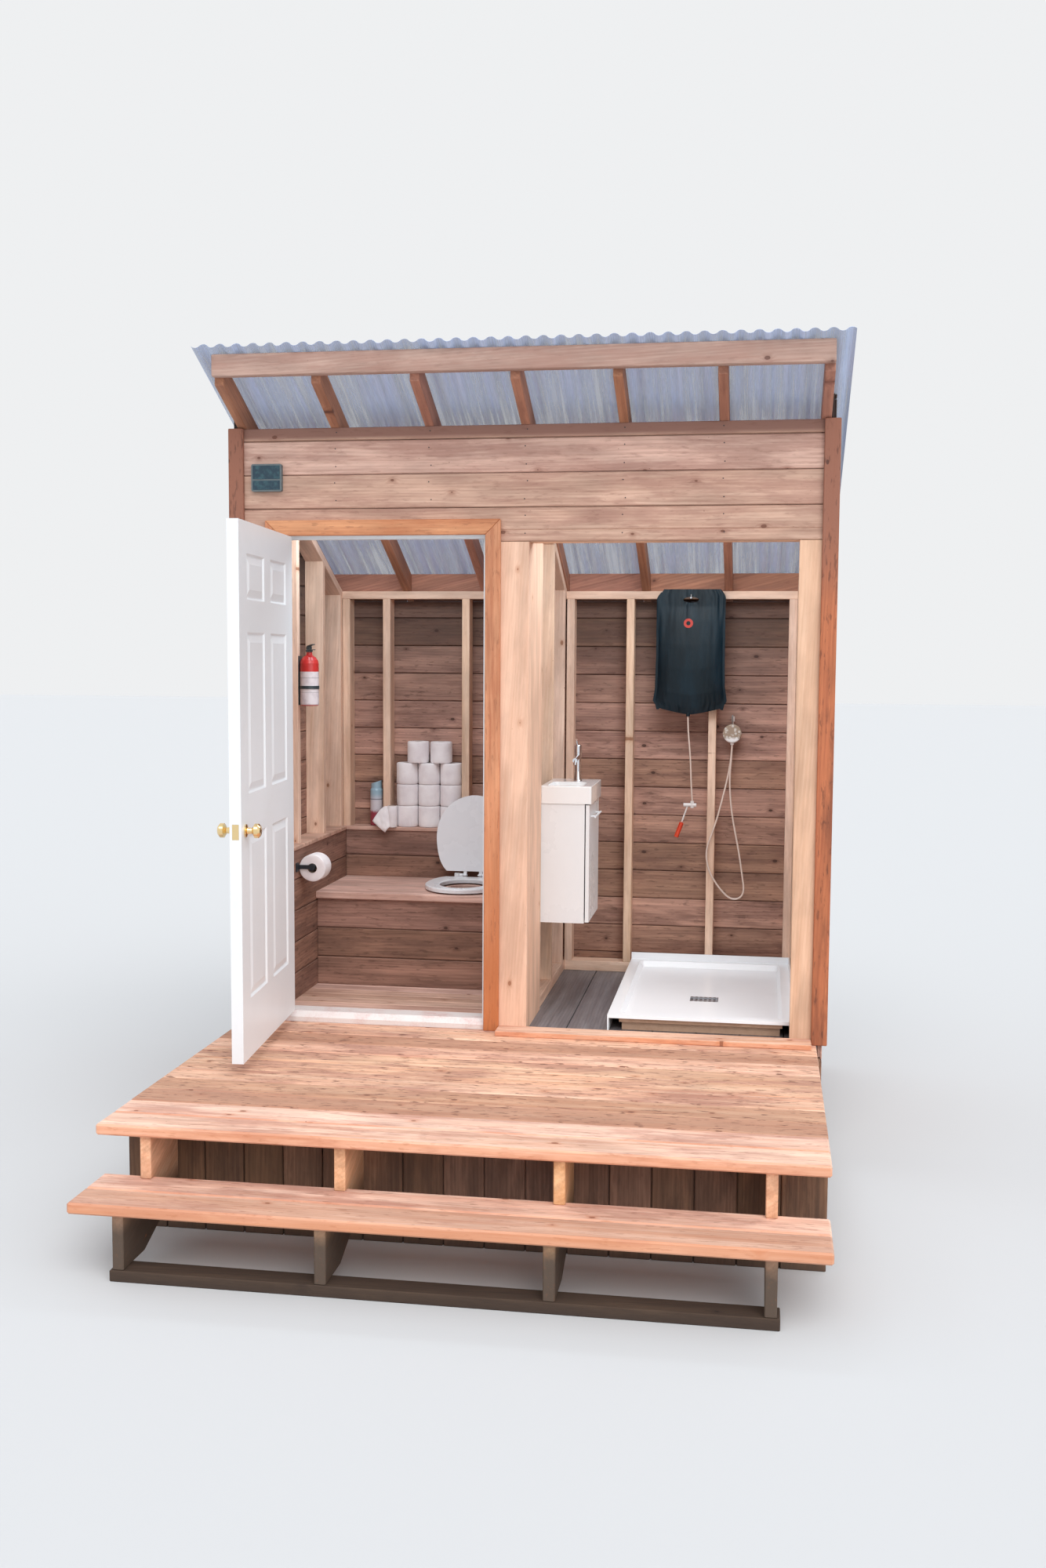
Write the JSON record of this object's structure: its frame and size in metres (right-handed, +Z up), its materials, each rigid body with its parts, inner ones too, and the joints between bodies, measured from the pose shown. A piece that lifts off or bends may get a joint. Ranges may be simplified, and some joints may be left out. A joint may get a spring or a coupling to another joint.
{
  "type": "wooden outhouse",
  "caption": "Timber outhouse with a toilet room behind a hinged door, an open wash room with shower tray and basin, a corrugated shed roof and a deck with a long step.",
  "frame": {"origin": "on the ground, under the outer face of the front wall, on the building's centre line", "axes": "+X to the right along the front, +Y into the building, +Z up"},
  "size_m": [2.58, 3.3619, 3.244],
  "materials": {
    "cedar_boards": "stained",
    "cedar_trim": "stained",
    "brown_boards": "stained",
    "fir_frame": "planed",
    "deck_cedar": "oiled",
    "pale_cedar": "planed",
    "weathered_wood": "weathered",
    "vinyl_plank": "satin",
    "clear_sheet": "clear corrugated sheet",
    "zinc": "zinc plated",
    "rafter_cedar": "planed",
    "white_paint": "satin paint",
    "white_laminate": "gloss laminate",
    "white_plastic": "gloss",
    "white_ceramic": "gloss",
    "brass": "polished",
    "chrome": "polished",
    "sill_metal": "scuffed",
    "black_bag": "soft sheet",
    "clear_tube": "translucent",
    "white_fitting": "gloss",
    "red_paint": "gloss",
    "dark_plastic": "matt",
    "paper": "soft",
    "can_paint": "gloss",
    "lamp_grey": "satin"
  },
  "bodies": {
    "root": {"skids": "weathered_wood", "joists": "weathered_wood", "skirting": "weathered_wood", "stair_stringers": "weathered_wood", "ground_plate": "weathered_wood", "deck_boards": "deck_cedar", "deck_nosing": "pale_cedar", "step_boards": "pale_cedar", "toilet_floor": "brown_boards", "wash_floor": "vinyl_plank", "wash_sill": "pale_cedar", "wall_studs": "fir_frame", "wall_plates": "fir_frame", "front_posts": "fir_frame", "headers": "fir_frame", "partition_panel": "fir_frame", "partition_boards": "brown_boards", "front_siding": "cedar_boards", "side_siding": "cedar_boards", "back_siding": "cedar_boards", "corner_trims": "cedar_trim", "door_casing": "cedar_trim", "door_jamb": "white_paint", "threshold": "sill_metal", "door_hinges": "brass", "rafters": "rafter_cedar", "fascia": "pale_cedar", "roof_blocking": "rafter_cedar", "roof_sheet": "clear_sheet", "bench_top": "brown_boards", "bench_riser": "brown_boards", "wall_boards": "brown_boards", "ledge": "brown_boards", "seat_hinges": "white_plastic", "cabinet": "white_laminate", "basin": "white_ceramic", "tap_body": "chrome", "shower_tray": "white_plastic", "shower_bag": "black_bag", "wall_hooks": "zinc", "bag_tube": "clear_tube", "bag_valve": "white_fitting", "shower_head": "white_fitting", "shower_hose": "clear_tube", "hose_connector": "white_fitting", "extinguisher": "red_paint", "roll_holder": "dark_plastic", "paper_rolls": "paper", "paper_roll": "paper", "spray_can": "can_paint", "solar_light": "lamp_grey"},
    "door": {"door_leaf": "white_paint", "hinge_leaves": "brass", "latch_plate": "brass"},
    "knob": {"door_knobs": "brass"},
    "cabinet_leaf": {"cabinet_door": "white_laminate"},
    "lever": {"tap_lever": "chrome"},
    "seat": {"toilet_seat": "white_plastic"},
    "lid": {"toilet_lid": "white_plastic"}
  },
  "joints": [
    {"name": "door_hinge", "type": "hinge", "parent": "root", "child": "door", "pos_m": [-1.034, -0.027, 1.5], "axis": [0, 0, -1], "range_deg": [-85, 90]},
    {"name": "door_knob", "type": "hinge", "parent": "door", "child": "knob", "pos_m": [-0.93686, -0.82762, 1.372], "axis": [0.9962, 0.0872, 0], "range_deg": [-45, 45]},
    {"name": "cabinet_hinge", "type": "hinge", "parent": "root", "child": "cabinet_leaf", "pos_m": [0.222, 0.787, 1.1], "axis": [0, 0, 1], "range_deg": [0, 95]},
    {"name": "tap_lever", "type": "hinge", "parent": "root", "child": "lever", "pos_m": [0.142, 0.69, 1.6], "axis": [0, 0, 1], "range_deg": [-45, 45]},
    {"name": "seat_hinge", "type": "hinge", "parent": "root", "child": "seat", "pos_m": [-0.435, 1.15, 0.932], "axis": [-1, 0, 0], "range_deg": [0, 85]},
    {"name": "lid_hinge", "type": "hinge", "parent": "root", "child": "lid", "pos_m": [-0.435, 1.15, 0.932], "axis": [-1, 0, 0], "range_deg": [-100, 0]}
  ]
}
